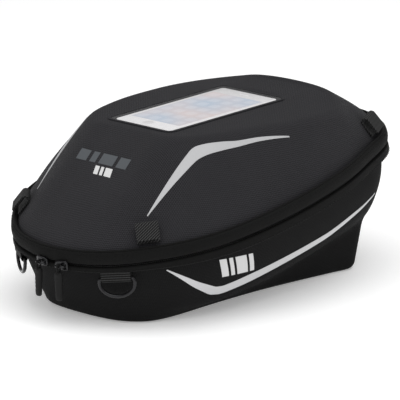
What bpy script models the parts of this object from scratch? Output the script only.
"""Motorcycle tank bag: a hard-shell lid with a handset window, hinged to a deeper base and closed by a zip.

Row frame: +Z up, the nose (where the zip sliders meet) points to -Y, the hinge is at +Y, and the
origin is at the centre of the bounding box's bottom. The tables below are written in a design frame
whose origin is above the keel at the window's centre, and place() moves them to the row frame.
Lengths in the tables are millimetres.
"""

import math

import bmesh
import bpy
from mathutils import Matrix, Vector
from mathutils.bvhtree import BVHTree

MM = 0.001

# ---- driving dimensions, in millimetres and degrees ----
BAG_SHIFT_Y = 2.7        # from the window's centre to the bounding box's centre
ZIP_TILT = 10.2          # the zip plane rises towards the hinge
ZIP_Z = 87.3             # height of the zip plane above the keel, at the window's centre
PANEL_Z = 157.0          # height of the top panel above the keel, at the window's centre
PANEL_SLOPE = 0.034      # rise of the top panel towards the hinge
NOSE_RADIUS = 110.0      # the zip's arc round the nose, in the zip plane
WALL = 4.0               # foam shell
LINING = 0.8
LINING_GAP = 0.5
BASE_LINING_GAP = 1.1    # wider, because the base's inner corners are tighter
GAP = 0.3                # between pieces that touch
STATIONS_HALF = 24       # facets along one half of the outline

BAND_OUT = 4.2           # the rim bands stand this far outside the zip line
BAND_IN = -0.9
LID_BAND = (1.6, 12.5)   # heights of the bands above the zip plane
BASE_BAND = (-10.0, -1.6)
BASE_BAND_NOSE = -6.6    # the base band is less deep round the nose
NOSE_ENDS = (2.0, 6.0)   # outline stations between which the nose becomes the side
BELLY = 3.5              # the base's sides swell by this much
FLANGE_OUT = -2.3        # the shells' flanges stand inside the bands
FLANGE_LIP = 1.2
FLANGE_TOP = 11.8
FLANGE_BELOW = 0.8
BEAD = (0.2, 1.3)        # one half of the zip's coil
BEAD_OUT = 0.8
TAPE = (-2.0, -1.2)
TAPE_REACH = 9.5
ZIP_END = 11.0           # outline station where the zip stops beside the hinge

HANDSET = (67.0, 138.1, 7.1)
HANDSET_CORNER = 3.8
WINDOW_MARGIN = 1.0      # between the handset and the pocket's walls
PANE = 0.5               # the clear pane lies over the opening
PANE_LAP = 2.5
WELT = (3.0, 0.8)        # the strip round the pane: its width and thickness
FLAP = 1.2

LEAF = 1.0               # each leaf of the fabric hinge lies against a rim band
LEAF_OUT = 5.2
LEAF_HEIGHTS = (1.2, 9.0)

SLIDER_MEET = 5.0        # the sliders are parked a little to the +X side of the nose's centre
SLIDER_X = 10.5          # each slider's distance from where they meet
SLIDER_PLATE = (13.0, 2.2, 8.6)
PULL_BAR_OUT = 11.0      # the bar that a puller hangs from
GRIP = (7.5, 4.0, 25.0)  # a puller's moulded grip
CORD = 1.6

RING_X = 58.5            # each D-ring's distance from the centre
RING_WIRE = 3.2
RING_HALF = 15.5         # half of the ring's width, at the wire's centre
RING_DROP = 15.5
RING_STRAIGHT = 3.5
WEB_WIDTH = 26.0
WEB_TURN = (-0.2, -13.0)  # where the ring's bar lies in its webbing, out from and above the zip plane

LOOP_WIDTH = 20.0        # webbing loops on the lid
LOOP_LENGTH = 18.0
LOOP_DEPTH = 8.0
LOOP_WALL = 1.6
FRONT_LOOP_AT = 3.13     # outline stations
REAR_LOOP_AT = 9.7

SKIRT = 20.0             # the flat ring that the bag stands on
RECESS = 7.0             # the tank plate is sunk this far into the keel
PLATE = (74.0, 150.0, 5.0)
BOARD = (84.0, 224.0, 2.5)
KEEL_MIDDLE = -3.0       # the board's and the plate's centre along the bag
SCREW_AT = (27.0, 62.0)
SCREW_SEAT = (5.0, 5.0)  # radius and depth
SCREW_HEAD = (4.5, 2.0)  # radius and thickness

# Half outlines from the nose's centre, round the +X side, to the hinge's centre. Point i of one ring
# is above or below point i of the next. The zip line is in the zip plane (x, along the plane).
ARC_AT = (0.0, 28.0, 56.0)
RIM = [(79.0, -146.5), (99.5, -121.0), (114.0, -90.0), (122.0, -48.0), (123.5, 8.0), (117.5, 63.0),
       (105.0, 108.0), (87.5, 152.0), (53.0, 176.0), (0.0, 182.0)]
RIM_NOSE = -181.5

LID_MIDDLE = [(0, -137, -45.5), (22, -136, -45), (45, -131, -43), (67, -116, -45), (86, -93, -41),
              (97, -67, -38), (104, -33, -34), (107, 11, -29), (105, 57, -24), (96, 99, -20),
              (75, 138, -18), (44, 156, -14), (0, 160, -13)]
LID_CREASE = [(0, -86, -4), (20, -86, -4), (40, -86, -3.5), (57, -77, -3), (71, -55, -2), (78, -30, -1),
              (84, -5, -1), (89, 27, -1.5), (91, 58, -2), (86, 90, -2), (62, 112, 2), (38, 121, 6),
              (0, 124, 7)]
LID_PANEL = [(0, -82), (18, -82), (34, -81), (38, -72), (38.5, -52), (38.5, -30), (38.5, -6), (38.5, 24),
             (38.5, 54), (38.5, 86), (37, 110), (22, 117), (0, 119)]

BASE_CREASE = [(0, -160, 20), (24, -158, 20), (47, -150, 20), (65, -135, 20), (81, -111, 17), (90, -80, 15),
               (96, -44, 18), (101, 5, 29), (103, 56, 42), (98, 107, 53), (80, 145, 59), (47, 165, 62),
               (0, 170, 63)]
KEEL_TOP = [(0, -154, 8), (22, -152, 8), (42, -146, 8), (59.5, -132, 8), (71, -115, 8), (75, -88, 7.5),
            (75, -47, 8), (75, 5, 12), (76, 57, 23), (78.5, 105, 36), (77, 134, 44), (54, 148, 48),
            (0, 152, 49)]
KEEL = [(0, -146), (18, -145.5), (38, -142.5), (54, -134), (63.5, -120), (66, -95), (64.6, -50), (65.5, 5),
        (69, 55), (73, 101), (74, 126), (53, 138), (0, 141)]

TILT = math.radians(ZIP_TILT)
ALONG = Vector((0.0, math.cos(TILT), math.sin(TILT)))
ACROSS = Vector((1.0, 0.0, 0.0))
NORMAL = Vector((0.0, -math.sin(TILT), math.cos(TILT)))
LAST = len(KEEL) - 1
PANEL_TILT = math.atan(PANEL_SLOPE)


# ---- curves ----
def place(x, y, z):
    """A point of the design frame, in the row frame and metres."""
    return Vector((x, y + BAG_SHIFT_Y, z)) * MM


def zip_point(x, v, h):
    """The point x across, v along and h above the zip plane."""
    return place(0, 0, ZIP_Z) + (ACROSS * x + ALONG * v + NORMAL * h) * MM


def rim_points():
    """The zip line: an arc round the nose, then the table's points."""
    arc = [(x, RIM_NOSE + NOSE_RADIUS - math.sqrt(NOSE_RADIUS ** 2 - x * x)) for x in ARC_AT]
    return [Vector(p) for p in arc + RIM]


def half_curve(points, u):
    """The smooth curve through a half outline's points, at station u from 0 to LAST.

    Past either end the outline goes on as its own mirror image, so the whole ring is smooth."""
    def at(i):
        if i < 0:
            return Vector((-points[-i][0], *points[-i][1:]))
        if i > LAST:
            return Vector((-points[2 * LAST - i][0], *points[2 * LAST - i][1:]))
        return Vector(points[i])

    i = min(int(math.floor(u)), LAST - 1)
    t = u - i
    a, b, c, d = (at(i + k) for k in (-1, 0, 1, 2))
    squared, cubed = 2 * a - 5 * b + 4 * c - d, 3 * b - a - 3 * c + d
    return 0.5 * (2 * b + (c - a) * t + squared * t * t + cubed * t ** 3)


def stations():
    """Every station of the whole ring as (u, side), from the nose round +X to the hinge and back."""
    half = half_stations()
    return [(u, 1) for u in half] + [(u, -1) for u in half[-2:0:-1]]


def rim_frame(u, side=1):
    """The zip line's point, outward normal and tangent at a station, in zip-plane coordinates."""
    points = rim_points()
    p = half_curve(points, u)
    step = 0.02
    t = (half_curve(points, min(u + step, LAST)) - half_curve(points, max(u - step, 0))).normalized()
    if u in (0, LAST):
        t = Vector((1.0 if u == 0 else -1.0, 0.0))
    n = Vector((t.y, -t.x))
    return Vector((side * p.x, p.y)), Vector((side * n.x, n.y)), Vector((side * t.x, t.y))


def rim_at(u, side, out, h):
    """The point that far outside and above the zip line."""
    p, n, _ = rim_frame(u, side)
    return zip_point(p.x + n.x * out, p.y + n.y * out, h)


def table_at(table, u, side, dz=0.0):
    """A point of one of the tables with heights."""
    p = half_curve(table, u)
    return place(side * p.x, p.y, p.z + dz)


def panel_at(x, y, depth=0.0):
    """A point of the top panel, or that far under its face."""
    up = Vector((0, -math.sin(PANEL_TILT), math.cos(PANEL_TILT)))
    return place(x, y, PANEL_Z + PANEL_SLOPE * y) - up * depth * MM


def rounded(points, reaches):
    """The polyline with each inner corner cut back by its reach in millimetres, as a rounded corner is."""
    out = [points[0]]
    for i in range(1, len(points) - 1):
        p = points[i]
        for q in (points[i - 1], points[i + 1]):
            d = q - p
            out.append(p + d * min(reaches[i - 1] * MM / d.length, 0.4))
    return out + [points[-1]]


def lid_profile(u, side):
    """The lid's outer surface at one station, from the flange's lip to the edge of the flat panel."""
    panel = half_curve([(x, y, 0) for x, y in LID_PANEL], u)
    points = [rim_at(u, side, FLANGE_OUT, FLANGE_LIP), rim_at(u, side, FLANGE_OUT, FLANGE_TOP),
              table_at(LID_MIDDLE, u, side, PANEL_Z), table_at(LID_CREASE, u, side, PANEL_Z),
              panel_at(side * panel.x, panel.y)]
    return rounded(points, (1.5, 16, 6))


def base_profile(u, side):
    """The base's outer surface at one station, from the flange's lip down to the recess in the keel."""
    top = rim_at(u, side, FLANGE_OUT, base_band_low(u) - FLANGE_BELOW)
    crease = table_at(BASE_CREASE, u, side)
    keel = half_curve(KEEL, u)
    inward = Vector((-side * keel.x, -keel.y * 0.55)).normalized()
    belly = top.lerp(crease, 0.5) + rim_out(u, side) * BELLY * away_from_nose(u) * MM
    points = [rim_at(u, side, FLANGE_OUT, -FLANGE_LIP), top, belly, crease, table_at(KEEL_TOP, u, side),
              place(side * keel.x, keel.y, 0),
              place(side * keel.x + inward.x * SKIRT, keel.y + inward.y * SKIRT, 0),
              place(side * keel.x + inward.x * (SKIRT + 2), keel.y + inward.y * (SKIRT + 2), RECESS)]
    return rounded(points, (1.5, 14, 7, 5, 5, 1))


def rim_out(u, side):
    """The zip line's outward direction in the row frame."""
    _, n, _ = rim_frame(u, side)
    return (ACROSS * n.x + ALONG * n.y).normalized()


# ---- meshes ----
def new_object(name, mesh_or_curve, material, body):
    """An object on a body. Its mesh is in world coordinates until set_world gives it a place of its own."""
    obj = bpy.data.objects.new(name, mesh_or_curve)
    bpy.context.scene.collection.objects.link(obj)
    if material:
        obj.data.materials.append(material)
    obj.parent = body
    obj.matrix_parent_inverse = body.matrix_world.inverted()
    return obj


def mesh_of(name, points, faces, smooth=30):
    mesh = bpy.data.meshes.new(name)
    mesh.from_pydata([tuple(p) for p in points], [], faces)
    bm = bmesh.new()
    bm.from_mesh(mesh)
    bmesh.ops.recalc_face_normals(bm, faces=bm.faces)
    bm.to_mesh(mesh)
    bm.free()
    mesh.shade_smooth()
    mesh.set_sharp_from_angle(angle=math.radians(smooth))
    return mesh


def surface(name, profile):
    """An open surface through every station's profile, closed at its far end by one flat face."""
    rings = [profile(u, side) for u, side in stations()]
    count, depth = len(rings), len(rings[0])
    points = [p for ring in rings for p in ring]
    faces = []
    for i in range(count):
        j = (i + 1) % count
        for k in range(depth - 1):
            faces.append((i * depth + k, j * depth + k, j * depth + k + 1, i * depth + k + 1))
    faces.append([i * depth + depth - 1 for i in range(count)])
    return mesh_of(name, points, faces)


def shell(name, profile, thickness, depth, material, body):
    """A shell of that thickness whose outer face lies depth under the profile's surface."""
    obj = new_object(name, surface(name, profile), material, body)
    solid = obj.modifiers.new("wall", "SOLIDIFY")
    solid.thickness = thickness * MM
    solid.offset = -1 - 2 * depth / thickness
    solid.use_even_offset = True
    solid.use_quality_normals = True
    return obj


def swept(name, at, sections, closed, material, body, smooth=30):
    """A solid swept along the outline: at(u, side) gives its section's points at a station."""
    rings = [at(u, side) for u, side in sections]
    count, depth = len(rings), len(rings[0])
    points = [p for ring in rings for p in ring]
    faces = []
    for i in range(count if closed else count - 1):
        j = (i + 1) % count
        for k in range(depth):
            m = (k + 1) % depth
            faces.append((i * depth + k, j * depth + k, j * depth + m, i * depth + m))
    if not closed:
        faces += [list(range(depth)), [(count - 1) * depth + k for k in range(depth)]]
    return new_object(name, mesh_of(name, points, faces, smooth), material, body)


def half_stations():
    return [LAST * k / STATIONS_HALF for k in range(STATIONS_HALF + 1)]


def zip_stretch():
    """The stations of the zip, from beside the hinge on the -X side, round the nose, to the +X side."""
    half = [u for u in half_stations() if u <= ZIP_END]
    return [(u, -1) for u in half[:0:-1]] + [(u, 1) for u in half]


def hinge_stretch():
    """The stations of the fabric hinge, which starts where the zip ends."""
    half = [u for u in half_stations() if u >= ZIP_END]
    return [(u, 1) for u in half] + [(u, -1) for u in half[-2::-1]]


def rim_ring(name, section, material, body, stretch=None):
    """One section swept round the zip line, all the way or along a stretch of it."""
    def at(u, side):
        return [rim_at(u, side, out, h) for out, h in section]

    return swept(name, at, stretch or stations(), stretch is None, material, body)


def box_mesh(name, size, bevel=0.0, taper=1.0):
    """A box centred at its own origin. taper narrows its lower end."""
    bm = bmesh.new()
    bmesh.ops.create_cube(bm, size=1.0)
    for v in bm.verts:
        scale = taper if v.co.z < 0 else 1.0
        v.co = Vector((v.co.x * size[0] * scale, v.co.y * size[1], v.co.z * size[2])) * MM
    if bevel:
        bmesh.ops.bevel(bm, geom=list(bm.edges), offset=bevel * MM, segments=1, affect="EDGES", profile=0.5)
    mesh = bpy.data.meshes.new(name)
    bm.to_mesh(mesh)
    bm.free()
    mesh.shade_smooth()
    mesh.set_sharp_from_angle(angle=math.radians(30))
    return mesh


def rounded_plate(name, size, corner, steps=3):
    """A flat plate with rounded corners, centred at its own origin, its thickness along Z."""
    outline = []
    for cx, cy, start in ((1, 1, 0), (-1, 1, 90), (-1, -1, 180), (1, -1, 270)):
        for k in range(steps + 1):
            a = math.radians(start + 90 * k / steps)
            outline.append((cx * (size[0] / 2 - corner) + corner * math.cos(a),
                            cy * (size[1] / 2 - corner) + corner * math.sin(a)))
    return prism(name, outline, -size[2] / 2, size[2] / 2)


def prism(name, outline, low, high):
    """An outline in X and Y, extruded along Z."""
    n = len(outline)
    points = [Vector((x, y, z)) * MM for z in (low, high) for x, y in outline]
    faces = [list(range(n)), [n + k for k in range(n)]]
    faces += [(k, (k + 1) % n, n + (k + 1) % n, n + k) for k in range(n)]
    return mesh_of(name, points, faces)


def cylinder_mesh(name, radius, length, sides=12):
    """A cylinder along Z, centred at its own origin."""
    outline = [(radius * math.cos(2 * math.pi * k / sides), radius * math.sin(2 * math.pi * k / sides))
               for k in range(sides)]
    return prism(name, outline, -length / 2, length / 2)


def boolean(obj, other, operation):
    """Joins or cuts obj by other, which becomes a hidden helper."""
    modifier = obj.modifiers.new(other.name, "BOOLEAN")
    modifier.operation = operation
    modifier.object = other
    other.hide_render = True
    other.display_type = "WIRE"


def frame_matrix(origin, x_axis, y_axis, z_axis):
    m = Matrix((x_axis, y_axis, z_axis)).transposed().to_4x4()
    m.translation = origin
    return m


def panel_matrix(x, y, depth):
    """A frame on the top panel, its Z along the panel's normal."""
    return Matrix.Translation(panel_at(x, y, depth)) @ Matrix.Rotation(PANEL_TILT, 4, "X")


def set_world(obj, matrix):
    bpy.context.view_layer.update()
    obj.matrix_world = matrix
    return obj


# ---- materials ----
def material(name, colour, roughness, metallic=0.0, alpha=1.0):
    m = bpy.data.materials.new(name)
    m.use_nodes = True
    shader = m.node_tree.nodes["Principled BSDF"]
    shader.inputs["Base Color"].default_value = (*colour, 1)
    shader.inputs["Roughness"].default_value = roughness
    shader.inputs["Metallic"].default_value = metallic
    shader.inputs["Alpha"].default_value = alpha
    return m


def make_materials():
    return {
        "fabric": material("lid_fabric", (0.030, 0.030, 0.033), 0.85),
        "base": material("base_fabric", (0.020, 0.020, 0.021), 0.85),
        "band": material("band_fabric", (0.024, 0.024, 0.024), 0.8),
        "lining": material("lining", (0.10, 0.10, 0.11), 0.9),
        "tape": material("zip_tape", (0.012, 0.012, 0.012), 0.7),
        "web": material("webbing", (0.015, 0.015, 0.015), 0.8),
        "metal": material("black_metal", (0.03, 0.03, 0.03), 0.3, 1.0),
        "rubber": material("rubber", (0.02, 0.02, 0.02), 0.6),
        "reflective": material("reflective", (0.62, 0.62, 0.63), 0.4),
        "grey": material("grey_print", (0.10, 0.11, 0.12), 0.6),
        "clear": material("clear_pane", (0.9, 0.9, 0.92), 0.1, 0.0, 0.3),
        "white": material("handset_white", (0.85, 0.83, 0.83), 0.25),
        "plastic": material("black_plastic", (0.02, 0.02, 0.02), 0.45),
        "steel": material("steel", (0.55, 0.55, 0.56), 0.35, 1.0),
    }


# ---- the lid ----
def lid_shells(mats, body):
    lid = shell("lid_shell", lid_profile, WALL, 0.0, mats["fabric"], body)
    lining = shell("lid_lining", lid_profile, LINING, WALL + LINING_GAP, mats["lining"], body)
    opening = (HANDSET[0] + 2 * WINDOW_MARGIN, HANDSET[1] + 2 * WINDOW_MARGIN)
    for obj, grow in ((lid, 0.0), (lining, 8.0)):
        cutter = new_object(obj.name + "_cut", rounded_plate(obj.name + "_cut", (opening[0] + grow,
                            opening[1] + grow, 30.0), 4.0), None, body)
        set_world(cutter, panel_matrix(0, 0, 0))
        boolean(obj, cutter, "DIFFERENCE")


def lid_window(mats, body, flap_body):
    """The clear pane, the handset under it, the pocket's walls and the flap that closes it from inside."""
    opening = Vector((HANDSET[0] + 2 * WINDOW_MARGIN, HANDSET[1] + 2 * WINDOW_MARGIN))

    def plate(name, grow, thickness, corner, depth, finish, parent):
        """A plate that is larger than the window's opening by grow, with its middle at that depth."""
        mesh = rounded_plate(name, (opening.x + grow, opening.y + grow, thickness), corner)
        return set_world(new_object(name, mesh, finish, parent), panel_matrix(0, 0, depth))

    plate("window_pane", 2 * PANE_LAP, PANE, 5.5, -GAP - PANE / 2, mats["clear"], body)
    inner = 2 * (PANE_LAP + GAP)
    frame = plate("window_frame", inner + 2 * WELT[0], WELT[1], 8.8, -GAP - WELT[1] / 2, mats["fabric"], body)
    boolean(frame, plate("frame_hole", inner, 20.0, 5.8, 0, None, body), "DIFFERENCE")
    handset = new_object("handset", rounded_plate("handset", HANDSET, HANDSET_CORNER), mats["white"], body)
    set_world(handset, panel_matrix(0, 0, HANDSET[2] / 2))
    low, high = HANDSET[2] + GAP, WALL + GAP
    walls = plate("pocket_walls", 6, low - high, 6.0, (low + high) / 2, mats["lining"], body)
    boolean(walls, plate("pocket_hole", 0, 20.0, 4.0, (low + high) / 2, None, body), "DIFFERENCE")
    plate("pocket_flap", 6, FLAP, 6.0, low + GAP + FLAP / 2, mats["lining"], flap_body)


def webbing_loop(name, u, side, mats, body):
    """A folded webbing loop that stands on the lid's slope, just above the rim band."""
    foot = rim_at(u, side, FLANGE_OUT, FLANGE_TOP)
    _, _, t = rim_frame(u, side)
    tangent = (ACROSS * t.x + ALONG * t.y).normalized()
    slope = table_at(LID_MIDDLE, u, side, PANEL_Z) - foot
    slope = (slope - tangent * slope.dot(tangent)).normalized()
    away = tangent.cross(slope).normalized()
    if away.dot(rim_out(u, side)) < 0:
        away = -away

    def outline(grow):
        """A flattened loop, folded over at its top."""
        half = LOOP_DEPTH / 2 - grow
        top = LOOP_LENGTH - grow
        low = grow
        arc = [(top - half + half * math.sin(a), half * math.cos(a))
               for a in (math.radians(d) for d in (0, 45, 90, 135, 180))]
        return [(low, half)] + arc + [(low, -half)]

    centre = foot + slope * 3.2 * MM + away * (LOOP_DEPTH / 2 + 0.9) * MM
    outer, inner = outline(0.0), outline(LOOP_WALL)
    count = len(outer)
    points = []
    for end in (-LOOP_WIDTH / 2, LOOP_WIDTH / 2):
        for ring in (outer, inner):
            points += [centre + (slope * a + away * b + tangent * end) * MM for a, b in ring]
    faces = []
    for k in range(count):
        m = (k + 1) % count
        faces.append((k, m, 2 * count + m, 2 * count + k))
        faces.append((count + k, count + m, 3 * count + m, 3 * count + k))
        faces.append((k, m, count + m, count + k))
        faces.append((2 * count + k, 2 * count + m, 3 * count + m, 3 * count + k))
    return new_object(name, mesh_of(name, points, faces), mats["web"], body)


# ---- trim that lies on a shell ----
def surface_tree(profile):
    """A search tree of one of the shells' outer surfaces."""
    bm = bmesh.new()
    bm.from_mesh(surface("guide", profile))
    tree = BVHTree.FromBMesh(bm)
    bm.free()
    return tree


def laid_on(name, tree, rows, direction, thickness, stand_off, mats, body):
    """A thin solid laid on a surface. The rows' points travel along direction until they meet it."""
    lower, upper = [], []
    for row in rows:
        for p in row:
            hit, normal, _, _ = tree.ray_cast(p - direction * 0.3, direction)
            if normal.dot(direction) > 0:
                normal = -normal
            lower.append(hit + normal * stand_off * MM)
            upper.append(hit + normal * (stand_off + thickness) * MM)
    points = lower + upper
    n, wide = len(lower), len(rows[0])
    faces = []
    for i in range(len(rows) - 1):
        for k in range(wide - 1):
            a = i * wide + k
            faces.append((a, a + 1, a + wide + 1, a + wide))
            faces.append((n + a, n + a + 1, n + a + wide + 1, n + a + wide))
        for k in (0, wide - 1):
            a = i * wide + k
            faces.append((a, a + wide, n + a + wide, n + a))
    for i in (0, len(rows) - 1):
        for k in range(wide - 1):
            a = i * wide + k
            faces.append((a, a + 1, n + a + 1, n + a))
    return new_object(name, mesh_of(name, points, faces, 50), mats, body)


# middle line and half width of the lid's stripe in x and y, and of the base's in y and z
LID_STRIPE = [(67, -131, 0.4), (69.5, -92, 3.3), (70.5, -76, 4.0), (78, -57, 2.6), (85, -34, 1.6),
              (95.5, 16, 0.4)]
BASE_STRIPE = [(-128.5, 52.5, 0.4), (-102, 36, 2.7), (-82, 26.5, 3.9), (-72, 25.5, 4.3), (-46, 31, 4.6),
               (22, 45, 3.4), (56, 52, 2.8), (88, 62, 2.0), (131.5, 72.5, 0.4)]
FILM = (0.5, 0.8)        # a stripe's thickness, and how far it stands off the shell
PITCH = 6.0              # between a stripe's cross rows


def ribbon(points):
    """The two edges of a stripe, as (a, b) of the first edge and (a, b) of the second."""
    edges = []
    for i, (a, b, half) in enumerate(points):
        before, after = points[max(i - 1, 0)], points[min(i + 1, len(points) - 1)]
        run = Vector((after[0] - before[0], after[1] - before[1])).normalized() * half
        edges.append(Vector((a - run.y, b + run.x, a + run.y, b - run.x)))
    return edges


def between(edges, pitch):
    """Cross rows about that far apart between two edges, each row from edge to edge."""
    marks = []
    for p, q in zip(edges, edges[1:]):
        count = max(1, round((q - p).length / pitch))
        marks += [p.lerp(q, k / count) for k in range(count)]
    marks.append(edges[-1])
    return [[(m[0], m[1]), ((m[0] + m[2]) / 2, (m[1] + m[3]) / 2), (m[2], m[3])] for m in marks]


def stripes(mats, lid_tree, base_tree, lid, base):
    film = mats["reflective"]
    for side, hand in ((1, "right"), (-1, "left")):
        rows = [[place(side * x, y, FAR) for x, y in row] for row in between(ribbon(LID_STRIPE), PITCH)]
        laid_on(f"lid_stripe_{hand}", lid_tree, rows, Vector((0, 0, -1)), *FILM, film, lid)
        rows = [[place(side * FAR, y, z) for y, z in row] for row in between(ribbon(BASE_STRIPE), PITCH)]
        laid_on(f"base_stripe_{hand}", base_tree, rows, Vector((-side, 0, 0)), *FILM, film, base)


# each badge's start, middle height, length, height, slant and number of steps
NOSE_BADGE = (-33.5, -112.8, 61, 8.6, -1, 4)
NOSE_SMALL = (-5, -122.4, 23, 7, -3, 2)
SIDE_BADGE = (-83, 48.5, 37.5, 19, -9, 3)
FAR = 400                # trim starts from well outside the bag and travels inwards to a shell


def badge_rows(a0, b0, length, height, slant, steps):
    """Cross rows of a slanted patch."""
    rows = []
    for k in range(steps + 1):
        s = length * k / steps
        rows.append([(a0 + s + slant * (j - 0.5), b0 + height * (j - 0.5)) for j in (0, 0.5, 1)])
    return rows


def badges(mats, lid_tree, base_tree, lid, base):
    """Plain slanted patches where printed marks sit."""
    for name, patch, finish in (("nose_badge", NOSE_BADGE, "grey"),
                                ("nose_badge_small", NOSE_SMALL, "reflective")):
        rows = [[place(x, y, FAR) for x, y in row] for row in badge_rows(*patch)]
        laid_on(name, lid_tree, rows, Vector((0, 0, -1)), 0.4, 0.6, mats[finish], lid)
    for side, hand in ((1, "right"), (-1, "left")):
        rows = [[place(side * FAR, y, z) for y, z in row] for row in badge_rows(*SIDE_BADGE)]
        inward = Vector((-side, 0, 0))
        laid_on(f"side_badge_{hand}", base_tree, rows, inward, 0.4, 0.5, mats["reflective"], base)


# ---- rims, zip and hinge ----
def away_from_nose(u):
    """0 round the nose and 1 along the sides and the rear, with a smooth step between."""
    start, end = NOSE_ENDS
    t = min(max((u - start) / (end - start), 0.0), 1.0)
    return t * t * (3 - 2 * t)


def base_band_low(u):
    """The height of the base band's lower edge, which is nearer the zip round the nose."""
    return BASE_BAND_NOSE + (BASE_BAND[0] - BASE_BAND_NOSE) * away_from_nose(u)


def base_band_section(u, side):
    low, high = base_band_low(u), BASE_BAND[1]
    section = [(BAND_IN, low), (BAND_OUT - 1.6, low), (BAND_OUT + 0.3, low + (high - low) * 0.4),
               (BAND_OUT, high), (BAND_IN, high)]
    return [rim_at(u, side, out, h) for out, h in section]


def rims(mats, lid, base):
    low, high = LID_BAND
    section = [(BAND_IN, low), (BAND_OUT, low), (BAND_OUT + 0.6, low + 4), (BAND_OUT - 0.8, high - 1),
               (BAND_OUT - 2.2, high), (BAND_IN, high)]
    rim_ring("lid_band", section, mats["band"], lid)
    swept("base_band", base_band_section, stations(), True, mats["band"], base)
    for name, sign, body in (("lid_zip_tape", 1, lid), ("base_zip_tape", -1, base)):
        section = [(TAPE[0], sign * BEAD[0]), (BEAD_OUT, sign * BEAD[0]), (BEAD_OUT, sign * BEAD[1]),
                   (TAPE[1], sign * BEAD[1]), (TAPE[1], sign * TAPE_REACH), (TAPE[0], sign * TAPE_REACH)]
        rim_ring(name, section, mats["tape"], body, zip_stretch())


def hinge_leaves(mats, lid, base):
    """The fabric hinge: one leaf on each rim band. The fold between them is on the hinge's line."""
    inner, outer = LEAF_OUT, LEAF_OUT + LEAF
    for name, sign, body in (("hinge_leaf_lid", 1, lid), ("hinge_leaf_base", -1, base)):
        section = [(inner, sign * h) for h in LEAF_HEIGHTS] + [(outer, sign * h) for h in LEAF_HEIGHTS[::-1]]
        rim_ring(name, section, mats["web"], body, hinge_stretch())


# ---- sliders and pullers ----
def nose_station(x):
    """Where a piece stands on the nose's arc: its turn about the arc's centre."""
    return math.asin(x / NOSE_RADIUS)


def arc_matrix(x):
    """A frame at the arc's centre, turned so that its -Y runs out through the zip line at x."""
    centre = zip_point(0, RIM_NOSE + NOSE_RADIUS, 0)
    return frame_matrix(centre, ACROSS, ALONG, NORMAL) @ Matrix.Rotation(nose_station(x), 4, "Z")


def empty(name, parent, matrix):
    obj = bpy.data.objects.new(name, None)
    bpy.context.scene.collection.objects.link(obj)
    obj.parent = parent
    set_world(obj, matrix)
    bpy.context.view_layer.update()
    return obj


def slider_piece(hand, mats, body, arc):
    """An outer plate, the neck that runs between the bands, and the bridge that a puller hangs from."""
    def part(name, size, out, along=0.0, h=0.0, bevel=0.0):
        obj = new_object(name, box_mesh(name, size, bevel), mats["metal"], body)
        return set_world(obj, arc @ Matrix.Translation(Vector((along, -NOSE_RADIUS - out, h)) * MM))

    plate = part(f"slider_{hand}", SLIDER_PLATE, 6.3, bevel=0.8)
    boolean(plate, part(f"slider_{hand}_neck", (7.0, 4.4, 2.2), 3.4), "UNION")
    for end, along in (("a", -3.4), ("b", 3.4)):
        boolean(plate, part(f"slider_{hand}_post_{end}", (1.4, 5.4, 2.6), 9.0, along), "UNION")
    boolean(plate, part(f"slider_{hand}_bar", (7.6, 1.8, 1.8), PULL_BAR_OUT), "UNION")


def puller_pieces(hand, mats, body, pivot, tangent):
    """A cord loop over the slider's bar, and the moulded grip that it ends in."""
    down = Vector((0, 0, -1))
    down = (down - tangent * down.dot(tangent)).normalized()
    out = tangent.cross(down).normalized()
    if out.y > 0:
        out = -out
    half = 0.9 + 0.5 + CORD / 2
    leg = 4.2
    path = [pivot + (out * -half * 0.8 + down * leg) * MM]
    path += [pivot + (out * half * math.cos(a) - down * half * math.sin(a)) * MM
             for a in (math.radians(d) for d in (180, 135, 90, 45, 0))]
    path.append(pivot + (out * half * 0.8 + down * leg) * MM)
    curve = bpy.data.curves.new(f"puller_cord_{hand}", "CURVE")
    curve.dimensions = "3D"
    spline = curve.splines.new("POLY")
    spline.points.add(len(path) - 1)
    for point, p in zip(spline.points, path):
        point.co = (*p, 1)
    curve.bevel_depth = CORD / 2 * MM
    curve.bevel_resolution = 1
    curve.use_fill_caps = True
    new_object(f"puller_cord_{hand}", curve, mats["web"], body)
    name = f"puller_grip_{hand}"
    grip = new_object(name, box_mesh(name, GRIP, 1.2, 0.72), mats["rubber"], body)
    centre = pivot + down * (leg + GAP + GRIP[2] / 2) * MM
    set_world(grip, frame_matrix(centre, tangent, out * -1, down * -1))


# ---- D-rings ----
def ring_frame(side):
    """The D-ring bar's centre, tangent and outward direction."""
    arc = arc_matrix(side * RING_X)
    pivot = arc @ (Vector((0, -NOSE_RADIUS - WEB_TURN[0], WEB_TURN[1])) * MM)
    tangent = arc.to_3x3() @ Vector((1, 0, 0))
    return arc, pivot, tangent


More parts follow.
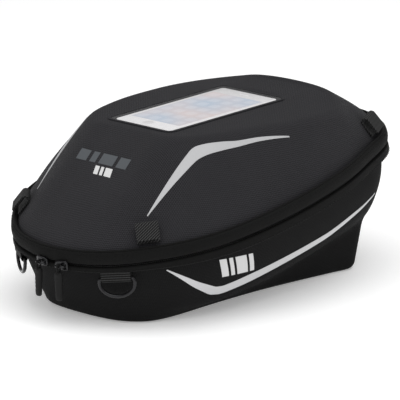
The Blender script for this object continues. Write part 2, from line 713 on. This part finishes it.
def d_ring(hand, side, mats, base, body):
    arc, pivot, tangent = ring_frame(side)
    down = Vector((0, 0, -1))
    down = (down - tangent * down.dot(tangent)).normalized()
    path = [(-RING_HALF + 2.5, 0), (RING_HALF - 2.5, 0), (RING_HALF - 0.6, 0.7), (RING_HALF, 2.6)]
    path += [(RING_HALF * math.cos(a), RING_STRAIGHT + (RING_DROP - RING_STRAIGHT) * math.sin(a))
             for a in (math.radians(d) for d in range(0, 181, 20))]
    path += [(-RING_HALF, 2.6), (-RING_HALF + 0.6, 0.7)]
    curve = bpy.data.curves.new(f"d_ring_{hand}", "CURVE")
    curve.dimensions = "3D"
    spline = curve.splines.new("POLY")
    spline.use_cyclic_u = True
    spline.points.add(len(path) - 1)
    for point, (a, b) in zip(spline.points, path):
        point.co = (*(pivot + (tangent * a + down * b) * MM), 1)
    curve.bevel_depth = RING_WIRE / 2 * MM
    curve.bevel_resolution = 1
    new_object(f"d_ring_{hand}", curve, mats["metal"], body)

    top, low = -11.0, WEB_TURN[1] - 3.0
    name = f"d_ring_web_{hand}"
    web = new_object(name, box_mesh(name, (WEB_WIDTH, 5.4, top - low), 0.5), mats["web"], base)
    set_world(web, arc @ Matrix.Translation(Vector((0, -NOSE_RADIUS - WEB_TURN[0], (top + low) / 2)) * MM))
    rod = cylinder_mesh(name + "_bore", RING_WIRE / 2 + 0.3, WEB_WIDTH + 8)
    bore = new_object(name + "_bore", rod, None, base)
    set_world(bore, arc @ Matrix.Translation(Vector((0, -NOSE_RADIUS - WEB_TURN[0], WEB_TURN[1])) * MM)
              @ Matrix.Rotation(math.pi / 2, 4, "Y"))
    boolean(web, bore, "DIFFERENCE")


# ---- the base ----
def base_shells(mats, body):
    shell("base_shell", base_profile, WALL, 0.0, mats["base"], body)
    shell("base_lining", base_profile, LINING, WALL + BASE_LINING_GAP, mats["lining"], body)


def keel_pieces(mats, body):
    """The stiffener board inside, and the tank plate with its screws in the recess underneath."""
    board_z = RECESS + WALL + BASE_LINING_GAP + LINING + GAP + BOARD[2] / 2
    board = new_object("floor_board", rounded_plate("floor_board", BOARD, 14.0), mats["plastic"], body)
    set_world(board, Matrix.Translation(place(0, KEEL_MIDDLE, board_z)))
    plate_z = RECESS - GAP - PLATE[2] / 2
    plate = new_object("tank_plate", rounded_plate("tank_plate", PLATE, 12.0), mats["plastic"], body)
    set_world(plate, Matrix.Translation(place(0, KEEL_MIDDLE, plate_z)))
    under = plate_z - PLATE[2] / 2
    for i, (sx, sy) in enumerate(((1, 1), (-1, 1), (-1, -1), (1, -1)), 1):
        x, y = sx * SCREW_AT[0], KEEL_MIDDLE + sy * SCREW_AT[1]
        seat = new_object(f"screw_seat_{i}", cylinder_mesh(f"screw_seat_{i}", *SCREW_SEAT), None, body)
        set_world(seat, Matrix.Translation(place(x, y, under)))
        boolean(plate, seat, "DIFFERENCE")
        disc = cylinder_mesh(f"plate_screw_{i}", *SCREW_HEAD)
        head = new_object(f"plate_screw_{i}", disc, mats["steel"], body)
        head_z = under + SCREW_SEAT[1] / 2 - SCREW_HEAD[1] / 2 - GAP
        set_world(head, Matrix.Translation(place(x, y, head_z)))


def main():
    for obj in list(bpy.data.objects):
        bpy.data.objects.remove(obj)
    mats = make_materials()
    base = empty("base_body", None, Matrix.Identity(4))
    back = rim_points()[LAST].y
    lid = empty("lid_body", base, Matrix.Translation(zip_point(0, back + LEAF_OUT + LEAF / 2, 0)))
    flap = empty("pocket_flap_body", lid, panel_matrix(0, -73.05, HANDSET[2] + 2 * GAP + FLAP / 2))

    base_shells(mats, base)
    lid_shells(mats, lid)
    rims(mats, lid, base)
    hinge_leaves(mats, lid, base)
    lid_window(mats, lid, flap)
    keel_pieces(mats, base)
    lid_tree, base_tree = surface_tree(lid_profile), surface_tree(base_profile)
    stripes(mats, lid_tree, base_tree, lid, base)
    badges(mats, lid_tree, base_tree, lid, base)
    for side, hand in ((1, "right"), (-1, "left")):
        webbing_loop(f"front_loop_{hand}", FRONT_LOOP_AT, side, mats, lid)
        webbing_loop(f"rear_loop_{hand}", REAR_LOOP_AT, side, mats, lid)
        arc = arc_matrix(SLIDER_MEET + side * SLIDER_X)
        slider = empty(f"slider_{hand}_body", base, arc)
        slider_piece(hand, mats, slider, arc)
        pivot = arc @ (Vector((0, -NOSE_RADIUS - PULL_BAR_OUT, 0)) * MM)
        tangent = arc.to_3x3() @ Vector((1, 0, 0))
        puller = empty(f"puller_{hand}_body", slider, Matrix.Translation(pivot))
        puller_pieces(hand, mats, puller, pivot, tangent)
        _, ring_pivot, _ = ring_frame(side)
        ring = empty(f"d_ring_{hand}_body", base, Matrix.Translation(ring_pivot))
        d_ring(hand, side, mats, base, ring)


main()
